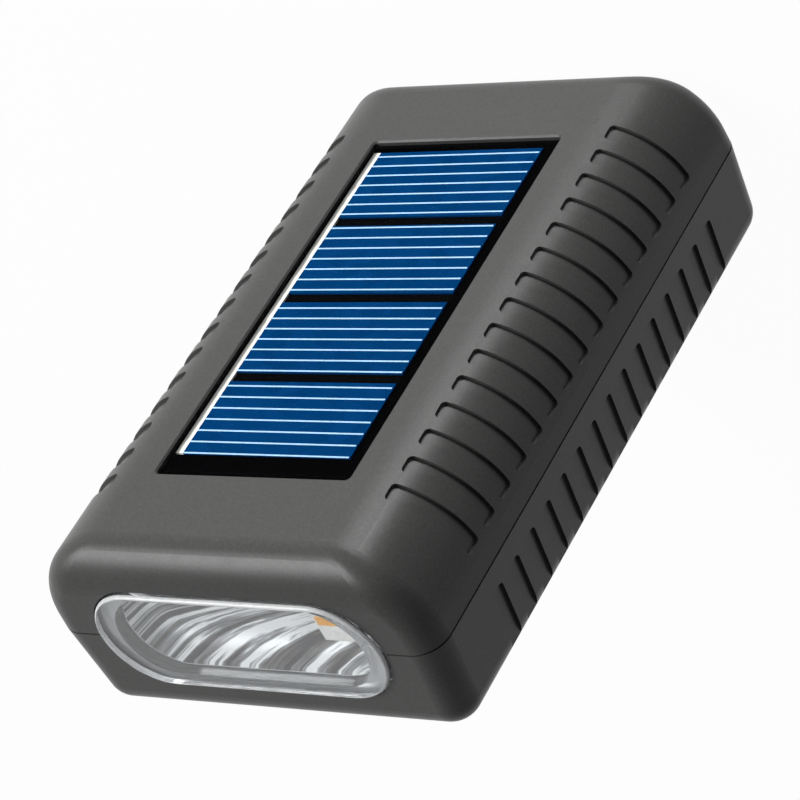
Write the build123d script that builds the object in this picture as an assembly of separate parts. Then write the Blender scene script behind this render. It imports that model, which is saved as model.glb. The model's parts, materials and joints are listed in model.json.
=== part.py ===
from build123d import *
import os
from math import cos, radians, sin, tan

# Solar wall light with a lamp window at each end, in millimetres.
# X runs across, Y points into the wall with the back face on y = 0, Z points up.
# "Depth" below is the distance from the back face towards the solar face, so y = -depth.

# Housing
length = 100.0
width = 63.4
depth = 29.3
parting_depth = 14.7
wall = 2.0
front_side_draft = 2.5
front_end_draft = 0.5
rear_side_draft = 6.0
rear_end_draft = 0.5
front_corner_radius = 12.4
front_corner_land = 0.5
end_ease_radius = 8.0
end_ease_over = 0.9
end_edge_radius = 4.1
back_edge_radius = 3.75

# Joint between the two shells
seam_height = 0.25
seam_reach = 0.3
lip_height = 1.4
lip_thickness = 0.9
lip_clearance = 0.15

# Grip grooves on both long sides
groove_count = 15
groove_pitch = 4.96
groove_width = 2.9
groove_sink = 0.5
groove_corner = 0.7
groove_front_start = 22.8
groove_front_gap = 4.1
groove_rear_gap = 3.4

# Solar panel, from its opening inwards
recess_width = 32.2
recess_length = 67.0
recess_corner = 0.6
recess_edge_break = 0.25
edge_break_angle = 45.0
panel_clearance = 0.2
cover_sink = 0.15
cover_over_cells = 0.2
cell_thickness = 0.3
panel_board_thickness = 1.6
tub_wall = 1.6
tub_floor = 1.6
cell_count = 4
cell_length = 13.8
cell_gap = 1.86
cell_width = 27.9
cell_end_margin = 1.9
cell_side_margin = 1.95
ribbon_width = 1.2
print_relief = 0.05
lead_hole_diameter = 2.0
lead_hole_spacing = 6.0
lead_hole_x = -8.0

# Lamp window: lens, seal and reflector share one groove in the shells
lens_width = 46.6
lens_height = 17.0
lens_proud = 0.6
lens_skin = 1.8
lens_end_wall = 3.1
lens_side_wall = 1.25
lens_edge_round = 0.5
window_clearance = 0.3
window_wall = 1.6
seal_thickness = 0.5
flange_reach = 1.5
flange_thickness = 1.2
flange_clearance = 0.1
rim_gap = 0.05
rim_thickness = 1.0
collar_wall = 2.7
collar_lip = 1.8

# Reflector and lamp board
bowl_depth = 3.9
bowl_taper = 25.0
bowl_floor_round = 3.2
bowl_floor = 1.0
bowl_wall = 1.2
lamp_x = -11.8
lamp_depth = 13.2
lamp_width = 5.2
lamp_length = 4.8
lamp_height = 2.0
lamp_clearance = 0.2
phosphor_width = 4.0
phosphor_length = 1.7
phosphor_thickness = 0.4
phosphor_edge = 0.3
lamp_board_width = 12.0
lamp_board_length = 9.0
lamp_board_thickness = 1.0
stake_diameter = 1.5
stake_edge = 1.3
stake_stand = 0.5

# Case screws
screw_diameter = 2.4
screw_length = 14.0
screw_head_diameter = 4.8
screw_head_height = 1.8
drive_diameter = 2.2
drive_depth = 0.9
screw_fit = 0.05
screw_pass = 0.25
screw_land = 5.7
head_room = 0.5
boss_diameter = 6.4
tube_wall = 1.0
boss_side_gap = 5.7
boss_collar_gap = 5.7
boss_web = 1.2

# Wall hanger
keyhole_entry = 8.5
keyhole_slot = 4.2
keyhole_drop = 9.0
keyhole_z = 16.0
keyhole_room = 4.5
keyhole_side = 0.4
keyhole_wall = 1.2

# Power button and its latching switch
button_z = -12.0
button_diameter = 6.4
button_clearance = 0.3
button_sink = 0.5
button_edge_round = 0.5
button_flange_reach = 1.2
button_flange_thickness = 1.0
button_travel = 1.5
button_stop_gap = 1.2
switch_size = 7.0
switch_height = 5.5
plunger_diameter = 3.0
plunger_insert = 2.5
plunger_end_gap = 0.5

# Control board
board_width = 20.0
board_length = 52.0
board_thickness = 1.2
board_side_gap = 4.2
post_diameter = 4.6
post_edge = 3.2
board_screw_diameter = 1.9
board_screw_depth = 5.0
board_screw_head = 3.6
board_screw_head_height = 1.2
chip_width = 4.0
chip_length = 5.0
chip_height = 1.5
chip_z = -6.0
coil_diameter = 5.0
coil_height = 4.5
coil_z = 6.0

# Battery cell and its contacts
battery_diameter = 14.5
battery_length = 50.5
battery_cap_diameter = 5.5
battery_cap_height = 1.2
battery_end_round = 0.8
sleeve_thickness = 0.2
sleeve_end = 0.6
battery_side_gap = 7.4
cradle_clearance = 0.15
cradle_floor = 1.2
cradle_thickness = 1.6
cradle_side = 1.2
cradle_spread = 28.0
hold_width = 3.2
contact_width = 9.0
contact_thickness = 0.4
contact_over_axis = 4.0
spring_room = 3.0
spring_span = 8.0
spring_width = 5.0

# Depths and heights that follow from the sizes above
half_length = length / 2
half_width = width / 2
front_corner = min(front_corner_radius, depth - parting_depth - front_corner_land)
lens_face_z = half_length + lens_proud
seal_z = half_length - window_wall
flange_z = seal_z - seal_thickness
lens_back_z = flange_z - flange_thickness
rim_z = lens_back_z - rim_gap
collar_z = rim_z - rim_thickness
collar_end_z = collar_z - collar_lip
flange_width = lens_width + 2 * flange_reach
flange_height = lens_height + 2 * flange_reach
bowl_width = lens_width - 2 * lens_end_wall
bowl_height = lens_height - 2 * lens_side_wall
bowl_floor_z = rim_z - bowl_depth
lamp_board_z = bowl_floor_z - bowl_floor
panel_top = depth - cover_sink
cell_top = panel_top - cover_over_cells
panel_board_top = cell_top - cell_thickness
pocket_floor = panel_board_top - panel_board_thickness
boss_x = half_width - wall - boss_side_gap
boss_z = collar_end_z - boss_diameter / 2 - boss_collar_gap
tube_hole = screw_head_diameter + 2 * head_room
tube_diameter = tube_hole + 2 * tube_wall
screw_seat = parting_depth - screw_land
board_x = -(half_width - wall - board_side_gap - board_width / 2)
flange_top = wall + button_clearance
flange_bottom = flange_top + button_flange_thickness
switch_top = flange_bottom + button_travel + button_stop_gap
board_back = switch_top + switch_height
board_front = board_back + board_thickness
post_x = board_width / 2 - post_edge
post_z = board_length / 2 - post_edge
battery_x = half_width - wall - battery_side_gap - battery_diameter / 2
battery_depth = wall + cradle_floor + cradle_clearance + battery_diameter / 2
battery_top_z = battery_length / 2
contact_top = battery_depth + contact_over_axis

# Reach of cutting shapes past the surface, and the most that an upright edge leans
overshoot = 5.0
steep_angle = 25.0


def at_depth(d):
    """Plane parallel to the wall at a depth, with its normal towards the solar face."""
    return Plane.XZ.offset(d)


def block(x0, x1, d0, d1, z0, z1):
    """Box between two x values, two depths and two heights."""
    centre = Pos((x0 + x1) / 2, -(d0 + d1) / 2, (z0 + z1) / 2)
    return centre * Box(x1 - x0, d1 - d0, z1 - z0)


def block_at(x, size_x, d0, d1, z, size_z):
    """Box about an x value and a height, between two depths."""
    return block(x - size_x / 2, x + size_x / 2, d0, d1, z - size_z / 2, z + size_z / 2)


def rod(x, z, d0, d1, diameter):
    """Round bar along the depth."""
    return extrude(at_depth(d0) * Pos(x, z) * Circle(diameter / 2), d1 - d0)


def slot_bar(bar_width, bar_height, z0, z1):
    """Bar with round sides, centred on the parting line, between two heights."""
    return extrude(Pos(0, -parting_depth, z0) * SlotOverall(bar_width, bar_height), z1 - z0)


def lower(shape):
    """Copy of an upper piece at the lower end."""
    return mirror(shape, about=Plane.XY)


def both_ends(shape):
    """A piece of the upper end together with its copy at the lower end."""
    return shape + lower(shape)


def front_section(inset):
    """Cross-section of the front half with its large side corners."""
    base = half_width - inset
    top = depth - inset
    half_turn = radians(90 - front_side_draft) / 2
    corner_x = base - (top - parting_depth) * tan(radians(front_side_draft))
    reach = (front_corner - inset) * tan(half_turn)
    start = (corner_x - reach, -top)
    end = (corner_x + reach * sin(radians(front_side_draft)), reach * cos(radians(front_side_draft)) - top)
    right = Bezier(start, (corner_x, -top), end, weights=[1, cos(half_turn), 1])
    left = mirror(right, about=Plane.YZ)
    front = Line((-start[0], -top), start)
    sides = Polyline((-end[0], end[1]), (-base, -parting_depth), (base, -parting_depth), end)
    return make_face(right.edges() + front.edges() + left.edges() + sides.edges())


def rear_section(inset, back):
    """Cross-section of the rear half, narrower at the back, from the parting line to a back depth."""
    base = half_width - inset
    lean = (parting_depth - back) * tan(radians(rear_side_draft))
    foot = (-base, -parting_depth), (base, -parting_depth)
    return make_face(Polyline(*foot, (base - lean, -back), (lean - base, -back), close=True))


def end_profile(inset, far_depth, draft):
    """Side outline that leans in at both ends, from the parting line to a depth."""
    end = half_length - inset
    lean = abs(far_depth - parting_depth) * tan(radians(draft))
    foot = (-parting_depth, end), (-parting_depth, -end)
    return make_face(Polyline(*foot, (-far_depth, lean - end), (-far_depth, end - lean), close=True))


def end_limits(profile):
    """Block of a side outline, as wide as needed."""
    return extrude(Plane.YZ * profile, width, both=True)


def front_form(inset):
    """Front half of the housing, drawn in by an inset; its ends ease in below the front edge."""
    profile = end_profile(inset, depth + end_ease_over - inset, front_end_draft)
    profile = fillet(profile.vertices().sort_by(Axis.X)[:2], end_ease_radius - inset)
    form = extrude(front_section(inset), length, both=True) & end_limits(profile)
    front_edges = form.edges().filter_by(Axis.X).group_by(Axis.Y)[0]
    side_edges = form.edges().filter_by(Axis.X, reverse=True).filter_by(Axis.Z, reverse=True)
    return fillet(front_edges + side_edges, end_edge_radius - inset)


def rear_form(inset):
    """Rear half of the housing, drawn in by an inset."""
    form = extrude(rear_section(inset, inset), length, both=True)
    form = form & end_limits(end_profile(inset, inset, rear_end_draft))
    upright = form.edges().filter_by(lambda e: abs(e.tangent_at(0.5).Y) > cos(radians(steep_angle)))
    form = fillet(upright, end_edge_radius - inset)
    back = form.faces().sort_by(Axis.Y)[-1]
    return fillet(back.edges(), max(back_edge_radius - inset, back_edge_radius / 4))


def ring(form, outer_inset, inner_inset, d0, d1):
    """Band that follows the housing outline between two insets and two depths."""
    slab = block(-width, width, d0, d1, -length, length)
    return (form(outer_inset) - form(inner_inset)) & slab


# One front groove: it starts on the front, turns over the corner and stops short of the seam
front_band = extrude(front_section(0) - front_section(groove_sink), groove_width, both=True)
front_run = half_width + overshoot - groove_front_start
front_spot = at_depth(0) * Pos(groove_front_start + front_run / 2, 0)
front_plan = extrude(front_spot * RectangleRounded(front_run, groove_width, groove_corner), depth + overshoot)
side_start = parting_depth + groove_front_gap
side_run = depth + overshoot - side_start
side_spot = Plane.YZ * Pos(-side_start - side_run / 2, 0)
side_plan = extrude(side_spot * RectangleRounded(side_run, groove_width, groove_corner), width)
front_groove = front_band & front_plan & side_plan

# One rear groove: it starts behind the seam and runs out over the back edge
rear_band = extrude(rear_section(0, 0) - rear_section(groove_sink, 0), groove_width, both=True)
rear_start = parting_depth - groove_rear_gap
rear_run = rear_start + overshoot
rear_spot = Plane.YZ * Pos(rear_run / 2 - rear_start, 0)
rear_plan = extrude(rear_spot * RectangleRounded(rear_run, groove_width, groove_corner), width)
rear_groove = rear_band & rear_plan

groove_heights = [(i - (groove_count - 1) / 2) * groove_pitch for i in range(groove_count)]


def groove_set(groove):
    """All grooves of one shell, on both sides."""
    cuts = []
    for height in groove_heights:
        cut = Pos(0, 0, height) * groove
        cuts.append(cut)
        cuts.append(mirror(cut, about=Plane.YZ))
    return cuts


# Collar that holds the lens, its seal and the reflector, and the cuts that shape it
collar_width = flange_width + 2 * collar_wall
collar_height = flange_height + 2 * collar_wall
collar = slot_bar(collar_width, collar_height, collar_end_z, half_length - wall / 2)
window_width = lens_width + 2 * window_clearance
window_height = lens_height + 2 * window_clearance
window_cut = slot_bar(window_width, window_height, collar_end_z - overshoot, half_length + overshoot)
slot_width = flange_width + 2 * flange_clearance
slot_height = flange_height + 2 * flange_clearance
slot_cut = slot_bar(slot_width, slot_height, collar_z, seal_z)

# Front shell
front_shell = front_form(0) - front_form(wall)
tub_width = recess_width + 2 * tub_wall
tub_length = recess_length + 2 * tub_wall
tub = block_at(0, tub_width, pocket_floor - tub_floor, depth, 0, tub_length)
front_inner = [tub, both_ends(collar)]
web_start = parting_depth + lip_height + seam_reach
for side in (-1, 1):
    for end in (-1, 1):
        front_inner.append(rod(side * boss_x, end * boss_z, parting_depth, depth, boss_diameter))
        web_x = side * (boss_x + half_width) / 2
        front_inner.append(block_at(web_x, half_width - boss_x, web_start, depth, end * boss_z, boss_web))
hold_start = battery_depth + battery_diameter / 2 + cradle_clearance
for end in (-1, 1):
    hold_z = end * cradle_spread / 2
    front_inner.append(
        block_at(battery_x, hold_width, hold_start, pocket_floor, hold_z, cradle_thickness)
    )
inside = front_form(wall / 2)
for piece in front_inner:
    front_shell = front_shell + (piece & inside)
front_shell = front_shell - both_ends(window_cut) - both_ends(slot_cut)
lip_outer = wall - lip_clearance - lip_thickness
lip_inner = wall - lip_clearance
rebate_end = parting_depth + lip_height + lip_clearance
front_shell = front_shell - ring(front_form, lip_outer - lip_clearance, wall, parting_depth, rebate_end)
front_shell = front_shell - ring(front_form, 0, seam_reach, parting_depth, parting_depth + seam_height)
pocket_plan = RectangleRounded(recess_width, recess_length, recess_corner)
front_shell = front_shell - extrude(at_depth(pocket_floor) * pocket_plan, depth)
pocket_mouth = at_depth(depth - recess_edge_break) * pocket_plan
front_shell = front_shell - extrude(pocket_mouth, recess_edge_break, taper=-edge_break_angle)
pilot_end = screw_seat + screw_length + head_room
pilot_diameter = screw_diameter + 2 * screw_fit
tub_back = pocket_floor - tub_floor
for side in (-1, 1):
    lead_z = side * lead_hole_spacing / 2
    front_shell = front_shell - rod(lead_hole_x, lead_z, tub_back, pocket_floor, lead_hole_diameter)
    for end in (-1, 1):
        front_shell = front_shell - rod(side * boss_x, end * boss_z, parting_depth, pilot_end, pilot_diameter)
front_shell = front_shell - groove_set(front_groove)

# Rear shell
rear_shell = rear_form(0) - rear_form(wall)
rear_inside = rear_form(wall / 2)
rear_inner = [both_ends(collar)]
for side in (-1, 1):
    for end in (-1, 1):
        rear_inner.append(rod(side * boss_x, end * boss_z, wall / 2, parting_depth, tube_diameter))
for px in (-post_x, post_x):
    for pz in (-post_z, post_z):
        rear_inner.append(rod(board_x + px, pz, wall / 2, board_back, post_diameter))
hanger_width = keyhole_entry + 2 * keyhole_side
hanger_floor = wall + keyhole_room


def keyhole_bar(bar_width, d0, d1):
    """Upright bar with round ends that runs from the hanger's entry hole to the top of its slot."""
    spot = at_depth(d0) * Pos(0, keyhole_z + keyhole_drop / 2) * Rot(0, 0, 90)
    return extrude(spot * SlotOverall(keyhole_drop + bar_width, bar_width), d1 - d0)


rear_inner.append(keyhole_bar(hanger_width + 2 * keyhole_wall, wall / 2, hanger_floor + keyhole_wall))
cradle_width = battery_diameter + 2 * cradle_side
for end in (-1, 1):
    cradle_z = end * cradle_spread / 2
    rear_inner.append(block_at(battery_x, cradle_width, wall / 2, battery_depth, cradle_z, cradle_thickness))
plus_rib = battery_top_z + contact_thickness
minus_rib = -battery_top_z - spring_room - contact_thickness
for rib_z in (plus_rib + cradle_thickness / 2, minus_rib - cradle_thickness / 2):
    rear_inner.append(block_at(battery_x, contact_width, wall / 2, contact_top, rib_z, cradle_thickness))
for piece in rear_inner:
    rear_shell = rear_shell + (piece & rear_inside)
lip = ring(front_form, lip_outer, lip_inner, parting_depth, parting_depth + lip_height)
lip_foot = ring(rear_form, lip_outer, lip_inner, parting_depth - lip_height, parting_depth)
rear_shell = rear_shell + (lip + lip_foot)
rear_shell = rear_shell - both_ends(window_cut) - both_ends(slot_cut)
battery_room = Cylinder(battery_diameter / 2 + cradle_clearance, battery_length)
rear_shell = rear_shell - Pos(battery_x, -battery_depth, 0) * battery_room
for side in (-1, 1):
    for end in (-1, 1):
        x, z = side * boss_x, end * boss_z
        rear_shell = rear_shell - rod(x, z, -overshoot, screw_seat, tube_hole)
        rear_shell = rear_shell - rod(x, z, screw_seat, parting_depth, screw_diameter + 2 * screw_pass)
post_pilot = board_screw_diameter + 2 * screw_fit
post_pilot_start = board_back - board_screw_depth - head_room
for px in (-post_x, post_x):
    for pz in (-post_z, post_z):
        rear_shell = rear_shell - rod(board_x + px, pz, post_pilot_start, board_back, post_pilot)
rear_shell = rear_shell - rod(0, keyhole_z, -overshoot, hanger_floor, keyhole_entry)
rear_shell = rear_shell - keyhole_bar(keyhole_slot, -overshoot, hanger_floor)
rear_shell = rear_shell - keyhole_bar(hanger_width, wall, hanger_floor)
button_hole = button_diameter + 2 * button_clearance
rear_shell = rear_shell - rod(board_x, button_z, -overshoot, flange_top, button_hole)
rear_shell = rear_shell - groove_set(rear_groove)

# Solar panel
panel_width = recess_width - 2 * panel_clearance
panel_length = recess_length - 2 * panel_clearance
panel_plan = RectangleRounded(panel_width, panel_length, recess_corner)
solar_board = extrude(at_depth(pocket_floor) * panel_plan, panel_board_thickness)
cells_low_z = panel_clearance + cell_end_margin - recess_length / 2
cells_left_x = cell_side_margin + panel_clearance - recess_width / 2
cells_mid_x = cells_left_x + cell_width / 2
cells = []
for i in range(cell_count):
    cell_z = cells_low_z + i * (cell_length + cell_gap) + cell_length / 2
    cells.append(block_at(cells_mid_x, cell_width, panel_board_top, cell_top, cell_z, cell_length))
solar_cells = Compound(children=cells)
cells_length = cell_count * cell_length + (cell_count - 1) * cell_gap
cells_mid_z = cells_low_z + cells_length / 2
ribbon_x = cells_left_x + cell_width + ribbon_width / 2
solar_ribbon = block_at(ribbon_x, ribbon_width, panel_board_top, cell_top, cells_mid_z, cells_length)
solar_cover = extrude(at_depth(panel_board_top) * panel_plan, panel_top - panel_board_top)
relief_width = cell_width + ribbon_width + 2 * print_relief
relief_length = cells_length + 2 * print_relief
relief_top = cell_top + print_relief
relief_x = cells_mid_x + ribbon_width / 2
relief = block_at(relief_x, relief_width, panel_board_top, relief_top, cells_mid_z, relief_length)
solar_cover = solar_cover - relief

# Lens with its clamped flange, seal and reflector of the upper end
upper_lens = slot_bar(lens_width, lens_height, lens_back_z, lens_face_z)
upper_lens = fillet(upper_lens.faces().sort_by(Axis.Z)[-1].edges(), lens_edge_round)
upper_lens = upper_lens + slot_bar(flange_width, flange_height, lens_back_z, flange_z)
upper_lens = upper_lens - slot_bar(bowl_width, bowl_height, lens_back_z, lens_face_z - lens_skin)
upper_lens_seal = slot_bar(flange_width, flange_height, flange_z, seal_z)
upper_lens_seal = upper_lens_seal - slot_bar(window_width, window_height, flange_z, seal_z)


def bowl_plan(extra):
    """Reflector opening, widened by a margin, on the plane where the reflector meets the lens."""
    return Pos(0, -parting_depth, rim_z) * SlotOverall(bowl_width + 2 * extra, bowl_height + 2 * extra)


down = (0, 0, -1)
bowl_hollow = extrude(bowl_plan(0), bowl_depth, dir=down, taper=bowl_taper)
bowl_hollow = fillet(bowl_hollow.faces().sort_by(Axis.Z)[0].edges(), bowl_floor_round)
bowl_body = extrude(bowl_plan(bowl_wall), bowl_depth + bowl_floor, dir=down, taper=bowl_taper)
upper_reflector = bowl_body + slot_bar(flange_width, flange_height, collar_z, rim_z)
upper_reflector = upper_reflector - bowl_hollow
lamp_plane = Plane.XY.offset(lamp_board_z)
lamp_spot = lamp_plane * Pos(lamp_x, -lamp_depth)
lamp_hole = Rectangle(lamp_width + 2 * lamp_clearance, lamp_length + 2 * lamp_clearance)
upper_reflector = upper_reflector - extrude(lamp_spot * lamp_hole, bowl_depth)
stake_x = lamp_board_width / 2 - stake_edge
stake_spots = [lamp_plane * Pos(lamp_x + side * stake_x, -parting_depth) for side in (-1, 1)]
stake_length = lamp_board_thickness + stake_stand
for spot in stake_spots:
    upper_reflector = upper_reflector + extrude(spot * Circle(stake_diameter / 2), stake_length, dir=down)

# Lamp board, lamp body and phosphor of the upper end
lamp_board_plan = lamp_plane * Pos(lamp_x, -parting_depth) * Rectangle(lamp_board_width, lamp_board_length)
upper_lamp_board = extrude(lamp_board_plan, lamp_board_thickness, dir=down)
for spot in stake_spots:
    stake_hole = spot * Circle(stake_diameter / 2 + screw_fit)
    upper_lamp_board = upper_lamp_board - extrude(stake_hole, lamp_board_thickness, dir=down)
upper_lamp = extrude(lamp_spot * Rectangle(lamp_width, lamp_length), lamp_height)
phosphor_x = lamp_x + lamp_width / 2 - phosphor_edge - phosphor_width / 2
phosphor_y = -lamp_depth - lamp_length / 2 + phosphor_edge + phosphor_length / 2
phosphor_spot = lamp_plane.offset(lamp_height) * Pos(phosphor_x, phosphor_y)
phosphor_plan = phosphor_spot * Rectangle(phosphor_width, phosphor_length)
upper_phosphor = extrude(phosphor_plan, phosphor_thickness, dir=down)
upper_lamp = upper_lamp - upper_phosphor

# Case screws, from the back through the rear shell into the front shell
screws = []
for side in (-1, 1):
    for end in (-1, 1):
        x, z = side * boss_x, end * boss_z
        head_top = screw_seat - screw_head_height
        shank = rod(x, z, screw_seat, screw_seat + screw_length, screw_diameter)
        head = rod(x, z, head_top, screw_seat, screw_head_diameter)
        drive = rod(x, z, head_top, head_top + drive_depth, drive_diameter)
        screws.append(shank + head - drive)
case_screws = Compound(children=screws)

# Power button, switch and control board
power_button = rod(board_x, button_z, button_sink, flange_bottom, button_diameter)
power_button = fillet(power_button.faces().sort_by(Axis.Y)[-1].edges(), button_edge_round)
button_flange = button_diameter + 2 * button_flange_reach
power_button = power_button + rod(board_x, button_z, flange_top, flange_bottom, button_flange)
plunger_end = switch_top + plunger_insert
switch_plunger = rod(board_x, button_z, flange_bottom, plunger_end, plunger_diameter)
switch_body = block_at(board_x, switch_size, switch_top, board_back, button_z, switch_size)
plunger_hole = plunger_diameter + 2 * button_clearance
plunger_room = plunger_end + button_travel + plunger_end_gap
switch_body = switch_body - rod(board_x, button_z, switch_top, plunger_room, plunger_hole)
control_board = block_at(board_x, board_width, board_back, board_front, 0, board_length)
board_hole = board_screw_diameter + 2 * screw_pass
board_screw_list = []
for px in (-post_x, post_x):
    for pz in (-post_z, post_z):
        x = board_x + px
        control_board = control_board - rod(x, pz, board_back, board_front, board_hole)
        shank = rod(x, pz, board_back - board_screw_depth, board_front, board_screw_diameter)
        head = rod(x, pz, board_front, board_front + board_screw_head_height, board_screw_head)
        board_screw_list.append(shank + head)
board_screws = Compound(children=board_screw_list)
chip_top = board_front + chip_height
controller_chip = block_at(board_x, chip_width, board_front, chip_top, chip_z, chip_length)
coil = rod(board_x, coil_z, board_front, board_front + coil_height, coil_diameter)

# Battery cell: steel can with its cap, in a plastic sleeve
can_radius = battery_diameter / 2 - sleeve_thickness
can_length = battery_length - battery_cap_height
can_mid = -battery_cap_height / 2
battery_spot = Pos(battery_x, -battery_depth, 0)
can = Pos(0, 0, can_mid) * Cylinder(can_radius, can_length)
can = fillet(can.edges(), battery_end_round)
cap = Pos(0, 0, battery_top_z - battery_cap_height) * Circle(battery_cap_diameter / 2)
battery_can = battery_spot * (can + extrude(cap, battery_cap_height))
sleeve_length = can_length - 2 * battery_end_round - 2 * sleeve_end
battery_sleeve = battery_spot * Pos(0, 0, can_mid) * (
    Cylinder(battery_diameter / 2, sleeve_length) - Cylinder(can_radius, sleeve_length)
)

# Battery contacts: a flat plate at the cap end, a bowed spring plate at the other end
plate_z = battery_top_z + contact_thickness / 2
plus_contact = block_at(battery_x, contact_width, wall, contact_top, plate_z, contact_thickness)
spring_z = minus_rib + contact_thickness / 2
minus_plate = block_at(battery_x, contact_width, wall, contact_top, spring_z, contact_thickness)
bow = ThreePointArc(
    (-battery_depth - spring_span / 2, spring_z),
    (-battery_depth, -plate_z),
    (-battery_depth + spring_span / 2, spring_z),
)
spring_strip = Plane.YZ.offset(battery_x) * trace(bow, contact_thickness)
minus_spring = extrude(spring_strip, spring_width / 2, both=True)
behind_plate = block_at(battery_x, contact_width, 0, depth, minus_rib - overshoot / 2, overshoot)
minus_contact = minus_plate + (minus_spring - behind_plate)

nodes = {
    "front_shell": front_shell,
    "rear_shell": rear_shell,
    "solar_board": solar_board,
    "solar_cells": solar_cells,
    "solar_ribbon": solar_ribbon,
    "solar_cover": solar_cover,
    "upper_lens": upper_lens,
    "lower_lens": lower(upper_lens),
    "upper_lens_seal": upper_lens_seal,
    "lower_lens_seal": lower(upper_lens_seal),
    "upper_reflector": upper_reflector,
    "lower_reflector": lower(upper_reflector),
    "upper_lamp_board": upper_lamp_board,
    "lower_lamp_board": lower(upper_lamp_board),
    "upper_lamp": upper_lamp,
    "lower_lamp": lower(upper_lamp),
    "upper_phosphor": upper_phosphor,
    "lower_phosphor": lower(upper_phosphor),
    "control_board": control_board,
    "controller_chip": controller_chip,
    "coil": coil,
    "switch_body": switch_body,
    "switch_plunger": switch_plunger,
    "power_button": power_button,
    "battery_can": battery_can,
    "battery_sleeve": battery_sleeve,
    "plus_contact": plus_contact,
    "minus_contact": minus_contact,
    "board_screws": board_screws,
    "case_screws": case_screws,
}

os.makedirs("parts", exist_ok=True)
for name, shape in nodes.items():
    export_step(shape, f"parts/{name}.step")
    print(name, len(shape.solids()), "solids", round(shape.volume, 1), "mm3")
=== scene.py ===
import json
import math

import bmesh
import bpy
from mathutils import Matrix, Vector


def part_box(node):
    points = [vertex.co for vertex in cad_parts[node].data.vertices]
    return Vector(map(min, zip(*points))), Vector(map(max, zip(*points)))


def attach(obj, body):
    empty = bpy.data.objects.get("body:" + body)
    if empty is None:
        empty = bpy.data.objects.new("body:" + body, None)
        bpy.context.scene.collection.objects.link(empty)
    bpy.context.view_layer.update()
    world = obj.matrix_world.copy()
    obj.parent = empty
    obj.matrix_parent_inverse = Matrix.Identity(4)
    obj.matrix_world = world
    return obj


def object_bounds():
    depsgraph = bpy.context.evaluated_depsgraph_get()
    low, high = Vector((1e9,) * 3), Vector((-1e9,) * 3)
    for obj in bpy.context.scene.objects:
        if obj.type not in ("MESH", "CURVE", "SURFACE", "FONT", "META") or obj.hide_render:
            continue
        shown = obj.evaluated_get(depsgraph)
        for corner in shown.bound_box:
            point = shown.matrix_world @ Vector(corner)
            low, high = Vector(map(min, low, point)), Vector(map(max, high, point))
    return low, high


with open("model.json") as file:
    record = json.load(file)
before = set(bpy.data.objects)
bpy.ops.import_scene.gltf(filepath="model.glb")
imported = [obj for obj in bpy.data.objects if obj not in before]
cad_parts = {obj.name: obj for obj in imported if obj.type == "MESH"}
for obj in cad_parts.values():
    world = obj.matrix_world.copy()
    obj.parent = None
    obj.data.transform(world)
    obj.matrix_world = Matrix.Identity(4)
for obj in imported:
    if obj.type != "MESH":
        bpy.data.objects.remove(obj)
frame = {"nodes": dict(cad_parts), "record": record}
nodes = frame["nodes"]
cad_box = [list(corner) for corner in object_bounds()]
mm = 0.001


# Materials: each one is a Principled shader whose colour, roughness and relief vary over the piece

def new_material(name, **values):
    """Node material with a Principled shader; each keyword is one of its sockets, with _ for a space."""
    made = bpy.data.materials.new(name)
    made.use_nodes = True
    shader = made.node_tree.nodes["Principled BSDF"]
    for socket, value in values.items():
        shader.inputs[socket.replace("_", " ")].default_value = value
    return made


def add_node(made, kind, **settings):
    node = made.node_tree.nodes.new(kind)
    for key, value in settings.items():
        setattr(node, key, value)
    return node


def link(made, source, target):
    made.node_tree.links.new(source, target)


def shader_socket(made, name):
    return made.node_tree.nodes["Principled BSDF"].inputs[name]


def place(made, stretch=(1, 1, 1), turn=0.0):
    """Point on the piece, in metres, stretched and turned about Z."""
    where = add_node(made, "ShaderNodeTexCoord")
    mapping = add_node(made, "ShaderNodeMapping", vector_type="TEXTURE")
    mapping.inputs["Scale"].default_value = stretch
    mapping.inputs["Rotation"].default_value = (0, 0, turn)
    link(made, where.outputs["Object"], mapping.inputs["Vector"])
    return mapping.outputs["Vector"]


def noise(made, size, detail=3.0):
    """Noise whose spots are about one size, in metres."""
    texture = add_node(made, "ShaderNodeTexNoise")
    texture.inputs["Scale"].default_value = 1 / size
    texture.inputs["Detail"].default_value = detail
    link(made, place(made), texture.inputs["Vector"])
    return texture.outputs["Fac"]


def position(made):
    """X, Y and Z of the point on the piece, in metres."""
    where = add_node(made, "ShaderNodeTexCoord")
    parts = add_node(made, "ShaderNodeSeparateXYZ")
    link(made, where.outputs["Object"], parts.inputs[0])
    return parts.outputs["X"], parts.outputs["Y"], parts.outputs["Z"]


def combine(made, operation, first, second):
    """Math node of two values, each a socket or a number."""
    node = add_node(made, "ShaderNodeMath", operation=operation)
    for slot, value in zip(node.inputs, (first, second)):
        if isinstance(value, (int, float)):
            slot.default_value = value
        else:
            link(made, value, slot)
    return node.outputs[0]


def vary_colour(made, factor, stops):
    """Base colour that follows a factor through the stops, each a place and a colour."""
    ramp = add_node(made, "ShaderNodeValToRGB")
    elements = ramp.color_ramp.elements
    while len(elements) < len(stops):
        elements.new(0.5)
    for element, (spot, colour) in zip(elements, stops):
        element.position = spot
        element.color = (*colour, 1)
    link(made, factor, ramp.inputs["Fac"])
    link(made, ramp.outputs["Color"], shader_socket(made, "Base Color"))


def vary_roughness(made, factor, low, high):
    """Roughness that follows a noise, which lies mostly between 0.3 and 0.7, from low to high."""
    spread = add_node(made, "ShaderNodeMapRange")
    spread.inputs["From Min"].default_value = 0.3
    spread.inputs["From Max"].default_value = 0.7
    spread.inputs["To Min"].default_value = low
    spread.inputs["To Max"].default_value = high
    link(made, factor, spread.inputs["Value"])
    link(made, spread.outputs["Result"], shader_socket(made, "Roughness"))


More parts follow.
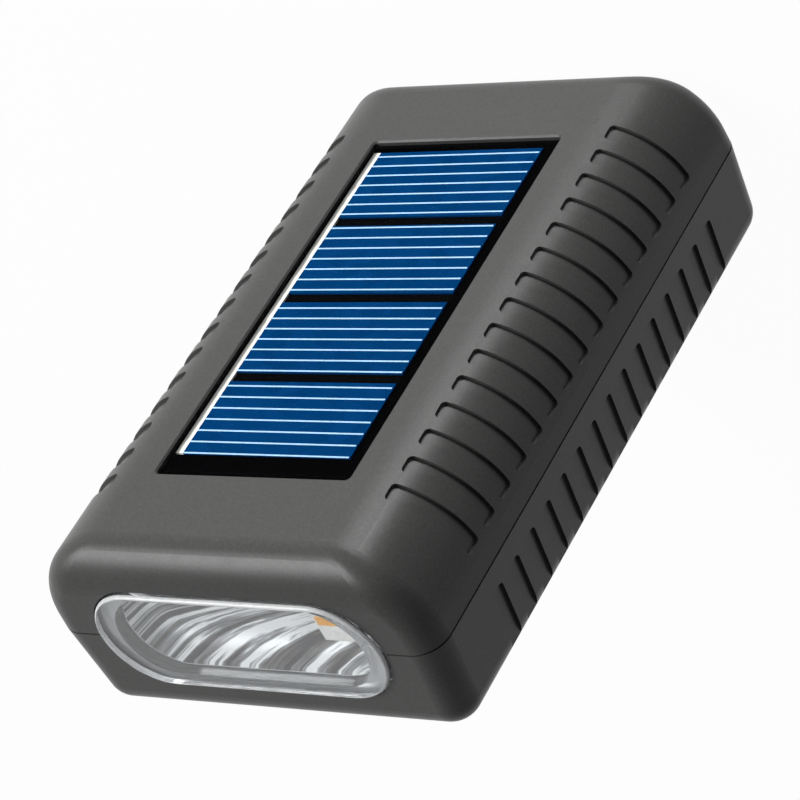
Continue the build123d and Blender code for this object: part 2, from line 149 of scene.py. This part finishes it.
def add_bump(made, factor, strength, height):
    """Relief that follows a factor; a second call lies over the first."""
    bump = add_node(made, "ShaderNodeBump")
    bump.inputs["Strength"].default_value = strength
    bump.inputs["Distance"].default_value = height
    link(made, factor, bump.inputs["Height"])
    normal = shader_socket(made, "Normal")
    if normal.is_linked:
        link(made, normal.links[0].from_socket, bump.inputs["Normal"])
    link(made, bump.outputs["Normal"], normal)


def shade(colour, factor):
    return tuple(min(channel * factor, 1) for channel in colour)


def plain_finish(name, colour, roughness, spot=0.8 * mm, spread=0.12, relief=0.01 * mm, **values):
    """Moulded, plated or printed finish with slight changes of colour, gloss and relief."""
    gloss_spread = 0.06
    made = new_material(name, **values)
    stops = [(0.3, shade(colour, 1 - spread)), (0.7, shade(colour, 1 + spread))]
    vary_colour(made, noise(made, spot), stops)
    vary_roughness(made, noise(made, spot / 2), roughness - gloss_spread, roughness + gloss_spread)
    add_bump(made, noise(made, spot / 3), 0.25, relief)
    return made


def housing_finish():
    """Charcoal moulded plastic with a fine spark-eroded grain."""
    made = new_material("housing_plastic", Specular_IOR_Level=0.17)
    stops = [(0.25, (0.038, 0.038, 0.037)), (0.5, (0.046, 0.046, 0.045)), (0.75, (0.055, 0.055, 0.053))]
    vary_colour(made, noise(made, 0.35 * mm, 4), stops)
    vary_roughness(made, noise(made, 2.5 * mm), 0.33, 0.37)
    add_bump(made, noise(made, 0.28 * mm, 2), 0.3, 0.03 * mm)
    add_bump(made, noise(made, 9 * mm, 1), 0.04, 0.05 * mm)
    return made


def cell_finish():
    """Blue cell with faint crystal flakes."""
    made = new_material("solar_cell", Specular_IOR_Level=0.0, Roughness=0.35)
    flakes = add_node(made, "ShaderNodeTexVoronoi")
    flakes.inputs["Scale"].default_value = 1 / (2.2 * mm)
    link(made, place(made, (1.6, 1, 1), 0.5), flakes.inputs["Vector"])
    stops = [(0.0, (0.0003, 0.0258, 0.095)), (0.5, (0.0005, 0.030, 0.109)), (1.0, (0.0011, 0.034, 0.123))]
    vary_colour(made, flakes.outputs["Color"], stops)
    add_bump(made, noise(made, 0.2 * mm), 0.15, 0.01 * mm)
    return made


def lens_finish():
    """Clear moulded plastic, a little wavy."""
    made = new_material("lens_clear", Transmission_Weight=0.97, IOR=1.49, Specular_Tint=(0.2, 0.2, 0.2, 1))
    vary_colour(made, noise(made, 6 * mm), [(0.3, (0.93, 0.95, 0.96)), (0.7, (0.97, 0.98, 0.99))])
    vary_roughness(made, noise(made, 2 * mm), 0.015, 0.04)
    add_bump(made, noise(made, 3 * mm, 1), 0.1, 0.05 * mm)
    return made


def resin_finish():
    """Thin clear film over the cells."""
    made = new_material("panel_resin", Alpha=0.01, Specular_IOR_Level=0.1)
    vary_colour(made, noise(made, 4 * mm), [(0.3, (0.010, 0.010, 0.012)), (0.7, (0.020, 0.020, 0.024))])
    vary_roughness(made, noise(made, 2 * mm), 0.12, 0.22)
    add_bump(made, noise(made, 2 * mm, 1), 0.1, 0.02 * mm)
    return made


def ribbon_finish():
    """Tinned ribbon, bright beside the cells, with painted shade darkening its outer edge next to the
    recess wall.
    """
    low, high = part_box("solar_ribbon")
    edge_waver = 0.4
    made = new_material("tinned_ribbon", Specular_IOR_Level=0.2)
    x = position(made)[0]
    across = combine(made, "DIVIDE", combine(made, "SUBTRACT", x, low.x), high.x - low.x)
    waver = combine(made, "MULTIPLY", noise(made, 2.5 * mm), edge_waver)
    across = combine(made, "SUBTRACT", combine(made, "ADD", across, waver), edge_waver / 2)
    bright, pale = (0.74, 0.73, 0.68), (0.62, 0.61, 0.56)
    # painted shade: the outer half darkens towards the recess wall
    painted_shade_grey, painted_dark = (0.16, 0.16, 0.15), (0.06, 0.06, 0.06)
    vary_colour(made, across, [(0.0, bright), (0.42, pale), (0.62, painted_shade_grey), (1.0, painted_dark)])
    vary_roughness(made, noise(made, 0.5 * mm), 0.4, 0.5)
    add_bump(made, noise(made, 0.3 * mm), 0.25, 0.01 * mm)
    return made


def ripple_relief_and_painted_reflection(made):
    """Long streaks over the reflector's bowl that bend towards X at its front: its ripple relief, and the
    same pattern as painted reflection in its colour; its flat rim stays even.
    """
    # lengths in millimetres, apart from rim_z
    streak_width = 4.2
    streak_length = 14.0
    bowl_back = 7.7
    slant = 2.2
    bend = 0.0012
    rim_tone = 0.535
    rim_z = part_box("upper_reflector")[1].z - 0.05 * mm
    x, y, z = position(made)
    along = combine(made, "MULTIPLY", x, -1 / mm)
    rise = combine(made, "MULTIPLY", y, -1 / mm)
    rise = combine(made, "SUBTRACT", rise, bowl_back)
    rise = combine(made, "MAXIMUM", rise, 0.0)
    bent = combine(made, "MULTIPLY", combine(made, "POWER", rise, 4.0), bend)
    shift = combine(made, "ADD", combine(made, "MULTIPLY", rise, slant), bent)
    point = add_node(made, "ShaderNodeCombineXYZ")
    across = combine(made, "SUBTRACT", along, shift)
    link(made, combine(made, "DIVIDE", across, streak_width), point.inputs["X"])
    link(made, combine(made, "DIVIDE", rise, streak_length), point.inputs["Y"])
    texture = add_node(made, "ShaderNodeTexNoise")
    texture.inputs["Scale"].default_value = 1.0
    texture.inputs["Detail"].default_value = 5.0
    texture.inputs["Roughness"].default_value = 0.66
    texture.inputs["Distortion"].default_value = 0.3
    link(made, point.outputs[0], texture.inputs["Vector"])
    in_bowl = combine(made, "LESS_THAN", combine(made, "ABSOLUTE", z, 0.0), rim_z)
    swing = combine(made, "SUBTRACT", texture.outputs["Fac"], rim_tone)
    return combine(made, "ADD", combine(made, "MULTIPLY", swing, in_bowl), rim_tone)


def reflector_finish():
    """Metallised plastic with slanting ripple relief, whose colour carries their reflections as painted
    light and dark streaks.
    """
    made = new_material("metallised_plastic", Metallic=0.7)
    streaks = ripple_relief_and_painted_reflection(made)
    # painted reflection: the streak colours, from dark to pale, stand in for what the ripples reflect
    painted_dark, warm = (0.035, 0.035, 0.038), (0.11, 0.10, 0.09)
    grey, pale = (0.34, 0.35, 0.37), (0.95, 0.96, 0.96)
    vary_colour(made, streaks, [(0.41, painted_dark), (0.46, warm), (0.52, grey), (0.56, pale)])
    vary_roughness(made, noise(made, 1.5 * mm), 0.58, 0.68)
    add_bump(made, streaks, 0.3, 0.5 * mm)
    return made


def edge_highlight_finish():
    """Pale see-through skin for the lens's rounded edge, a painted highlight."""
    made = new_material("lens_rim_painted_highlight", Alpha=0.5)
    vary_colour(made, noise(made, 1.2 * mm), [(0.3, (0.82, 0.83, 0.84)), (0.7, (0.96, 0.97, 0.98))])
    vary_roughness(made, noise(made, 0.8 * mm), 0.15, 0.3)
    add_bump(made, noise(made, 0.6 * mm), 0.2, 0.02 * mm)
    return made


finishes = {
    "housing_plastic": housing_finish(),
    "panel_black": plain_finish("panel_black", (0.0020, 0.0020, 0.0023), 0.7, Specular_IOR_Level=0.0),
    "solar_cell": cell_finish(),
    "tinned_ribbon": ribbon_finish(),
    "panel_resin": resin_finish(),
    "lens_clear": lens_finish(),
    "seal_rubber": plain_finish("seal_rubber", (0.02, 0.02, 0.02), 0.7),
    "metallised_plastic": reflector_finish(),
    "lamp_board_white": plain_finish("lamp_board_white", (0.75, 0.75, 0.73), 0.4),
    "lamp_white": plain_finish("lamp_white", (0.82, 0.81, 0.78), 0.4),
    "phosphor_yellow": plain_finish("phosphor_yellow", (0.88, 0.38, 0.005), 0.5, spot=0.3 * mm),
    "circuit_board": plain_finish("circuit_board", (0.03, 0.16, 0.06), 0.4),
    "component_black": plain_finish("component_black", (0.012, 0.012, 0.013), 0.45),
    "ferrite": plain_finish("ferrite", (0.03, 0.028, 0.027), 0.6),
    "plunger_white": plain_finish("plunger_white", (0.72, 0.71, 0.68), 0.45),
    "button_plastic": plain_finish("button_plastic", (0.045, 0.045, 0.046), 0.5, spot=0.4 * mm),
    "battery_can_metal": plain_finish("battery_can_metal", (0.70, 0.70, 0.69), 0.3, Metallic=1.0),
    "battery_sleeve_plastic": plain_finish("battery_sleeve_plastic", (0.10, 0.24, 0.12), 0.35),
    "plated_steel": plain_finish("plated_steel", (0.62, 0.61, 0.58), 0.28, Metallic=1.0),
}
for entry in frame["record"]["subparts"]:
    data = nodes[entry["node"]].data
    data.materials.clear()
    data.materials.append(finishes[entry["material_slot"]])


# Printed lines on the cells

print_finish = plain_finish("cell_print", (0.29, 0.51, 0.76), 0.45, spot=0.5 * mm)


def new_piece(name, mesh, finish):
    data = bpy.data.meshes.new(name)
    mesh.to_mesh(data)
    mesh.free()
    piece = bpy.data.objects.new(name, data)
    bpy.context.scene.collection.objects.link(piece)
    data.materials.append(finish)
    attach(piece, "housing")


def add_line(mesh, x0, x1, z, width, floor_y, height):
    """Printed line along X with a rounded back, on a face that looks along -Y."""
    steps = 6
    rows = []
    for x in (x0, x1):
        row = []
        for step in range(steps + 1):
            angle = math.pi * step / steps
            across = -math.cos(angle) * width / 2
            row.append(mesh.verts.new((x, floor_y - math.sin(angle) * height, z + across)))
        rows.append(row)
    for step in range(steps):
        mesh.faces.new((rows[0][step], rows[0][step + 1], rows[1][step + 1], rows[1][step]))
    mesh.faces.new((rows[0][0], rows[1][0], rows[1][steps], rows[0][steps]))
    mesh.faces.new(rows[0][::-1])
    mesh.faces.new(rows[1])


cells_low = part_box("solar_cells")[0]
ribbon_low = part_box("solar_ribbon")[0]
cell_length = 13.8 * mm
cell_gap = 1.86 * mm
line_count = 7
line_width = 0.27 * mm
line_end = 0.2 * mm
line_height = 0.04 * mm
# first line from the cell's lower edge and spacing of the lines, cell by cell, in millimetres
line_rows = [(0.87, 2.04), (0.40, 2.12), (1.16, 2.06), (0.87, 2.14)]
lines = bmesh.new()
for index, (first, pitch) in enumerate(line_rows):
    start = cells_low.z + index * (cell_length + cell_gap) + first * mm
    for step in range(line_count):
        z = start + step * pitch * mm
        add_line(lines, cells_low.x + line_end, ribbon_low.x, z, line_width, cells_low.y, line_height)
bmesh.ops.recalc_face_normals(lines, faces=lines.faces)
new_piece("cell_lines", lines, print_finish)


# Painted highlight round each lens, a thin pale skin over the rounded rim

def stadium(width, height, steps):
    """Outline with round sides in the XY plane about the origin, as points and outward directions."""
    radius = height / 2
    reach = width / 2 - radius
    outline = []
    for side, first in ((1, -90), (-1, 90)):
        for step in range(steps + 1):
            angle = math.radians(first + 180 * step / steps)
            way = Vector((math.cos(angle), math.sin(angle), 0))
            outline.append((Vector((side * reach, 0, 0)) + way * radius, way))
    return outline


def add_rim(mesh, low, high, face_z, inward):
    """Skin over the side and the rounded edge of a lens whose outer face lies at face_z."""
    edge_round = 0.5 * mm
    side_reach = 0.05 * mm
    lift = 0.02 * mm
    arc_steps = 6
    arc_step = math.radians(12)
    side_steps = 24
    core = stadium(high.x - low.x - 2 * edge_round, high.y - low.y - 2 * edge_round, side_steps)
    middle = Vector(((low.x + high.x) / 2, (low.y + high.y) / 2, 0))
    skins = []
    for radius in (edge_round + lift, edge_round - lift):
        profile = [(radius, edge_round + side_reach)]
        for step in range(arc_steps + 1):
            angle = arc_step * step
            profile.append((radius * math.cos(angle), edge_round - radius * math.sin(angle)))
        rings = []
        for out, drop in profile:
            level = Vector((0, 0, face_z + inward * drop))
            rings.append([mesh.verts.new(middle + point + way * out + level) for point, way in core])
        skins.append(rings)
    order = skins[0] + skins[1][::-1]
    count = len(core)
    for ring, following in zip(order, order[1:] + order[:1]):
        for step in range(count):
            after = (step + 1) % count
            mesh.faces.new((ring[step], ring[after], following[after], following[step]))


flange_reach = 1.5 * mm
# pale skin on each lens edge that paints its highlight
painted_edge_highlight = edge_highlight_finish()
for name, inward in (("upper_lens", -1), ("lower_lens", 1)):
    low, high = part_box(name)
    face_z = high.z if inward < 0 else low.z
    rim = bmesh.new()
    inner_low = low + Vector((flange_reach, flange_reach, 0))
    inner_high = high - Vector((flange_reach, flange_reach, 0))
    add_rim(rim, inner_low, inner_high, face_z, inward)
    bmesh.ops.recalc_face_normals(rim, faces=rim.faces)
    new_piece(name + "_rim", rim, painted_edge_highlight)


# Floor, lights and camera

def seen_rays(made):
    """1 for rays from the camera, off gloss or through glass, else 0."""
    rays = add_node(made, "ShaderNodeLightPath")
    seen = combine(made, "MAXIMUM", rays.outputs["Is Camera Ray"], rays.outputs["Is Glossy Ray"])
    return combine(made, "MAXIMUM", seen, rays.outputs["Is Transmission Ray"])


def stage_finish():
    """Pale floor that shows white to the camera, to gloss and through glass, and keeps a soft shadow."""
    white_share = 0.97
    made = bpy.data.materials.new("stage_floor")
    made.use_nodes = True
    tree = made.node_tree
    tree.nodes.remove(tree.nodes["Principled BSDF"])
    white = add_node(made, "ShaderNodeEmission")
    matte = add_node(made, "ShaderNodeBsdfDiffuse")
    matte.inputs["Color"].default_value = (0.6, 0.6, 0.6, 1)
    mix = add_node(made, "ShaderNodeMixShader")
    link(made, combine(made, "MULTIPLY", seen_rays(made), white_share), mix.inputs["Fac"])
    link(made, matte.outputs[0], mix.inputs[1])
    link(made, white.outputs[0], mix.inputs[2])
    link(made, mix.outputs[0], tree.nodes["Material Output"].inputs["Surface"])
    return made


floor_half_size = 6
floor_gap = 0.05 * mm
floor_mesh = bmesh.new()
bmesh.ops.create_grid(floor_mesh, x_segments=1, y_segments=1, size=floor_half_size)
floor_data = bpy.data.meshes.new("floor")
floor_mesh.to_mesh(floor_data)
floor_mesh.free()
floor = bpy.data.objects.new("floor", floor_data)
bpy.context.scene.collection.objects.link(floor)
floor.location.z = cad_box[0][2] - floor_gap
floor_data.materials.append(stage_finish())
# the far lamp stands below the floor, which lets its light through
floor.visible_shadow = False

# white behind the object, and little light from all round
backdrop_strength = 1.0
fill_strength = 0.06
world = bpy.data.worlds.new("studio")
bpy.context.scene.world = world
world.use_nodes = True
world_tree = world.node_tree
dim = world_tree.nodes["Background"]
dim.inputs["Color"].default_value = (1, 1, 1, 1)
dim.inputs["Strength"].default_value = fill_strength
bright = add_node(world, "ShaderNodeBackground")
bright.inputs["Color"].default_value = (1, 1, 1, 1)
bright.inputs["Strength"].default_value = backdrop_strength
world_mix = add_node(world, "ShaderNodeMixShader")
link(world, seen_rays(world), world_mix.inputs["Fac"])
link(world, dim.outputs[0], world_mix.inputs[1])
link(world, bright.outputs[0], world_mix.inputs[2])
link(world, world_mix.outputs[0], world_tree.nodes["World Output"].inputs["Surface"])


def soft_box(name, centre, size, power):
    """Rectangular lamp that looks at the object, in metres and watts; its first size lies level."""
    data = bpy.data.lights.new(name, "AREA")
    data.shape = "RECTANGLE"
    data.size, data.size_y = size
    data.energy = power
    lamp = bpy.data.objects.new(name, data)
    bpy.context.scene.collection.objects.link(lamp)
    away = Vector(centre).normalized()
    side = Vector((0, 0, 1)).cross(away).normalized()
    turn = Matrix((side, away.cross(side), away)).transposed().to_4x4()
    lamp.matrix_world = Matrix.Translation(centre) @ turn


soft_box("near", (0.45, -0.45, 0.49), (0.30, 0.38), 7.6)
soft_box("far", (0.11, -0.69, -0.383), (0.40, 0.22), 6.4)

# camera found from the photograph: focal length and picture width in pixels, place in millimetres
focal_length = 3606.588
picture_width = 800
sensor_width = 36
camera_place = Vector((-292.97, -295.51, 287.34))
camera_data = bpy.data.cameras.new("camera")
camera_data.sensor_width = sensor_width
camera_data.lens = sensor_width * focal_length / picture_width
camera_data.clip_start = 0.01
camera = bpy.data.objects.new("camera", camera_data)
bpy.context.scene.collection.objects.link(camera)
right = Vector((-0.80706, 0.40276, -0.43178))
up = Vector((0.01464, -0.71738, -0.69653))
back = right.cross(up)
turn = Matrix((right, up, back)).transposed().to_4x4()
camera.matrix_world = Matrix.Translation(camera_place * mm) @ turn
bpy.context.scene.camera = camera
bpy.context.scene.view_settings.view_transform = "Standard"
